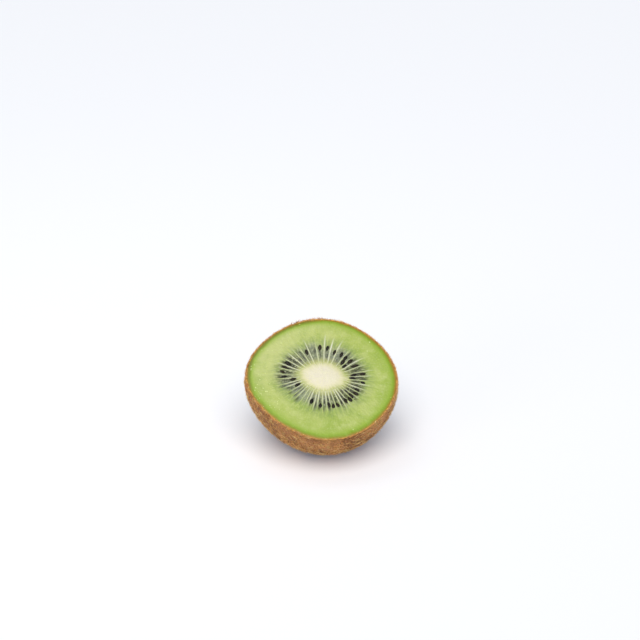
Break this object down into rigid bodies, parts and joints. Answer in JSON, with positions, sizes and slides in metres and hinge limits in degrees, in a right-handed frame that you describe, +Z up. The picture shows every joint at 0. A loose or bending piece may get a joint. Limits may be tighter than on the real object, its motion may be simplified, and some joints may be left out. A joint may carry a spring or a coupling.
{
  "type": "kiwi fruit half",
  "caption": "Half of a green kiwi fruit, cut across, lying tilted on its round brown side with the seeded cut face up.",
  "frame": {"origin": "on the surface the fruit lies on, under the middle of its box", "axes": "+X across the cut, level, +Y away from the side the cut face leans to, +Z up"},
  "size_m": [0.055, 0.0522, 0.0398],
  "materials": {
    "flesh": "wet green flesh with a thin brown hairy skin and black seeds",
    "core": "moist pale cream core"
  },
  "bodies": {
    "root": {"flesh": "flesh", "core": "core"}
  },
  "joints": []
}
